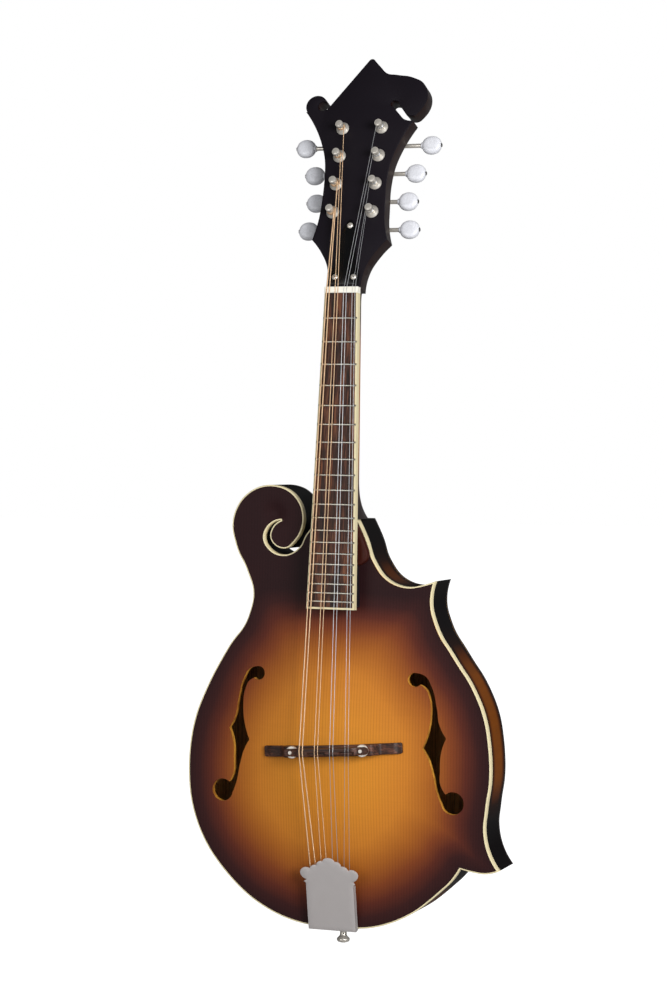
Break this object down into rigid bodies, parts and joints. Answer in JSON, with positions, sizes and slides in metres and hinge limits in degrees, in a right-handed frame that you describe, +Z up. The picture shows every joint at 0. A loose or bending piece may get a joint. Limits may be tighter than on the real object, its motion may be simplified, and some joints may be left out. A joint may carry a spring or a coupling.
{
  "type": "mandolin",
  "caption": "Scroll-body mandolin with an arched sunburst top, f-holes, geared tuners, an adjustable floating bridge and a sliding tailpiece cover.",
  "frame": {"origin": "where the strap button enters the tail, on the centre line and half way through the depth of the rim", "axes": "+Z up the neck towards the headstock, -Y out of the top plate (the playing side), +X towards the treble side"},
  "size_m": [0.2591, 0.1063, 0.7087],
  "materials": {
    "spruce_top": "satin sunburst",
    "maple_body": "satin stained",
    "maple_neck": "satin stained",
    "inner_wood": "raw",
    "rosewood": "oiled",
    "black_veneer": "satin lacquer",
    "cream_binding": "polished",
    "black_plastic": "polished",
    "pearl_button": "pearloid",
    "bone_nut": "polished",
    "nickel": "nickel plated",
    "satin_nickel": "satin",
    "steel": "plain",
    "bronze_wound": "wound",
    "plain_steel": "drawn wire"
  },
  "bodies": {
    "mandolin_body": {"top_plate": "spruce_top", "back_plate": "maple_body", "ribs": "maple_body", "linings": "inner_wood", "head_block": "inner_wood", "point_blocks": "inner_wood", "tail_block": "inner_wood", "tone_bars": "inner_wood", "top_binding": "cream_binding", "neck": "maple_neck", "head_overlay": "black_veneer", "truss_rod": "steel", "truss_rod_cover": "black_plastic", "truss_cover_screws": "nickel", "fingerboard": "rosewood", "fingerboard_binding": "cream_binding", "frets": "nickel", "side_dots": "black_plastic", "nut": "bone_nut", "fingerboard_riser": "maple_body", "bridge_base": "rosewood", "bridge_studs": "nickel", "tailpiece_base": "satin_nickel", "tailpiece_screws": "nickel", "strap_button": "nickel", "tuner_plate_bass": "nickel", "tuner_plate_treble": "nickel", "tuner_plate_screws": "nickel", "post_bushings": "nickel", "wound_strings": "bronze_wound", "plain_strings": "plain_steel"},
    "saddle": {"bridge_saddle": "rosewood"},
    "bass_thumbwheel": {"thumbwheel_bass": "nickel"},
    "treble_thumbwheel": {"thumbwheel_treble": "nickel"},
    "cover": {"tailpiece_cover": "satin_nickel"},
    "tuner_knob_1": {"tuner_button_1": "pearl_button", "tuner_worm_1": "nickel"},
    "string_post_1": {"tuner_post_1": "nickel"},
    "tuner_knob_2": {"tuner_button_2": "pearl_button", "tuner_worm_2": "nickel"},
    "string_post_2": {"tuner_post_2": "nickel"},
    "tuner_knob_3": {"tuner_button_3": "pearl_button", "tuner_worm_3": "nickel"},
    "string_post_3": {"tuner_post_3": "nickel"},
    "tuner_knob_4": {"tuner_button_4": "pearl_button", "tuner_worm_4": "nickel"},
    "string_post_4": {"tuner_post_4": "nickel"},
    "tuner_knob_5": {"tuner_button_5": "pearl_button", "tuner_worm_5": "nickel"},
    "string_post_5": {"tuner_post_5": "nickel"},
    "tuner_knob_6": {"tuner_button_6": "pearl_button", "tuner_worm_6": "nickel"},
    "string_post_6": {"tuner_post_6": "nickel"},
    "tuner_knob_7": {"tuner_button_7": "pearl_button", "tuner_worm_7": "nickel"},
    "string_post_7": {"tuner_post_7": "nickel"},
    "tuner_knob_8": {"tuner_button_8": "pearl_button", "tuner_worm_8": "nickel"},
    "string_post_8": {"tuner_post_8": "nickel"}
  },
  "joints": [
    {"name": "knob_1_turn", "type": "hinge", "parent": "mandolin_body", "child": "tuner_knob_1", "pos_m": [-0.0164, 0.01522, 0.55093], "axis": [1, 0, 0], "continuous": true},
    {"name": "post_1_turn", "type": "hinge", "parent": "mandolin_body", "child": "string_post_1", "pos_m": [-0.0164, 0.01749, 0.55829], "axis": [0, -0.9558, 0.294], "continuous": true},
    {"name": "knob_2_turn", "type": "hinge", "parent": "mandolin_body", "child": "tuner_knob_2", "pos_m": [-0.0164, 0.02228, 0.57387], "axis": [1, 0, 0], "continuous": true},
    {"name": "post_2_turn", "type": "hinge", "parent": "mandolin_body", "child": "string_post_2", "pos_m": [-0.0164, 0.02454, 0.58123], "axis": [0, -0.9558, 0.294], "continuous": true},
    {"name": "knob_3_turn", "type": "hinge", "parent": "mandolin_body", "child": "tuner_knob_3", "pos_m": [-0.0164, 0.02933, 0.59681], "axis": [1, 0, 0], "continuous": true},
    {"name": "post_3_turn", "type": "hinge", "parent": "mandolin_body", "child": "string_post_3", "pos_m": [-0.0164, 0.0316, 0.60417], "axis": [0, -0.9558, 0.294], "continuous": true},
    {"name": "knob_4_turn", "type": "hinge", "parent": "mandolin_body", "child": "tuner_knob_4", "pos_m": [-0.0164, 0.03639, 0.61975], "axis": [1, 0, 0], "continuous": true},
    {"name": "post_4_turn", "type": "hinge", "parent": "mandolin_body", "child": "string_post_4", "pos_m": [-0.0164, 0.03866, 0.62711], "axis": [0, -0.9558, 0.294], "continuous": true},
    {"name": "knob_5_turn", "type": "hinge", "parent": "mandolin_body", "child": "tuner_knob_5", "pos_m": [0.0164, 0.01522, 0.55093], "axis": [1, 0, 0], "continuous": true},
    {"name": "post_5_turn", "type": "hinge", "parent": "mandolin_body", "child": "string_post_5", "pos_m": [0.0164, 0.01749, 0.55829], "axis": [0, -0.9558, 0.294], "continuous": true},
    {"name": "knob_6_turn", "type": "hinge", "parent": "mandolin_body", "child": "tuner_knob_6", "pos_m": [0.0164, 0.02228, 0.57387], "axis": [1, 0, 0], "continuous": true},
    {"name": "post_6_turn", "type": "hinge", "parent": "mandolin_body", "child": "string_post_6", "pos_m": [0.0164, 0.02454, 0.58123], "axis": [0, -0.9558, 0.294], "continuous": true},
    {"name": "knob_7_turn", "type": "hinge", "parent": "mandolin_body", "child": "tuner_knob_7", "pos_m": [0.0164, 0.02933, 0.59681], "axis": [1, 0, 0], "continuous": true},
    {"name": "post_7_turn", "type": "hinge", "parent": "mandolin_body", "child": "string_post_7", "pos_m": [0.0164, 0.0316, 0.60417], "axis": [0, -0.9558, 0.294], "continuous": true},
    {"name": "knob_8_turn", "type": "hinge", "parent": "mandolin_body", "child": "tuner_knob_8", "pos_m": [0.0164, 0.03639, 0.61975], "axis": [1, 0, 0], "continuous": true},
    {"name": "post_8_turn", "type": "hinge", "parent": "mandolin_body", "child": "string_post_8", "pos_m": [0.0164, 0.03866, 0.62711], "axis": [0, -0.9558, 0.294], "continuous": true},
    {"name": "saddle_lift", "type": "slide", "parent": "mandolin_body", "child": "saddle", "axis": [0, -1, 0], "range_m": [0, 0.002], "deforming": ["wound_strings", "plain_strings"]},
    {"name": "bass_thumbwheel_turn", "type": "hinge", "parent": "saddle", "child": "bass_thumbwheel", "pos_m": [-0.02893, -0.04352, 0.13933], "axis": [0, -1, 0], "range_deg": [0, 1440]},
    {"name": "treble_thumbwheel_turn", "type": "hinge", "parent": "saddle", "child": "treble_thumbwheel", "pos_m": [0.02893, -0.04352, 0.14347], "axis": [0, -1, 0], "range_deg": [0, 1440]},
    {"name": "cover_slide", "type": "slide", "parent": "mandolin_body", "child": "cover", "axis": [0, -0.2055, 0.9787], "range_m": [0, 0.01]}
  ],
  "couplings": [
    {"joint": "post_1_turn", "follows": "knob_1_turn", "ratio": -0.066667},
    {"joint": "post_2_turn", "follows": "knob_2_turn", "ratio": -0.066667},
    {"joint": "post_3_turn", "follows": "knob_3_turn", "ratio": -0.066667},
    {"joint": "post_4_turn", "follows": "knob_4_turn", "ratio": -0.066667},
    {"joint": "post_5_turn", "follows": "knob_5_turn", "ratio": -0.066667},
    {"joint": "post_6_turn", "follows": "knob_6_turn", "ratio": -0.066667},
    {"joint": "post_7_turn", "follows": "knob_7_turn", "ratio": -0.066667},
    {"joint": "post_8_turn", "follows": "knob_8_turn", "ratio": -0.066667},
    {"joint": "bass_thumbwheel_turn", "follows": "saddle_lift", "rad_per_m": 12566},
    {"joint": "treble_thumbwheel_turn", "follows": "saddle_lift", "rad_per_m": 12566}
  ]
}
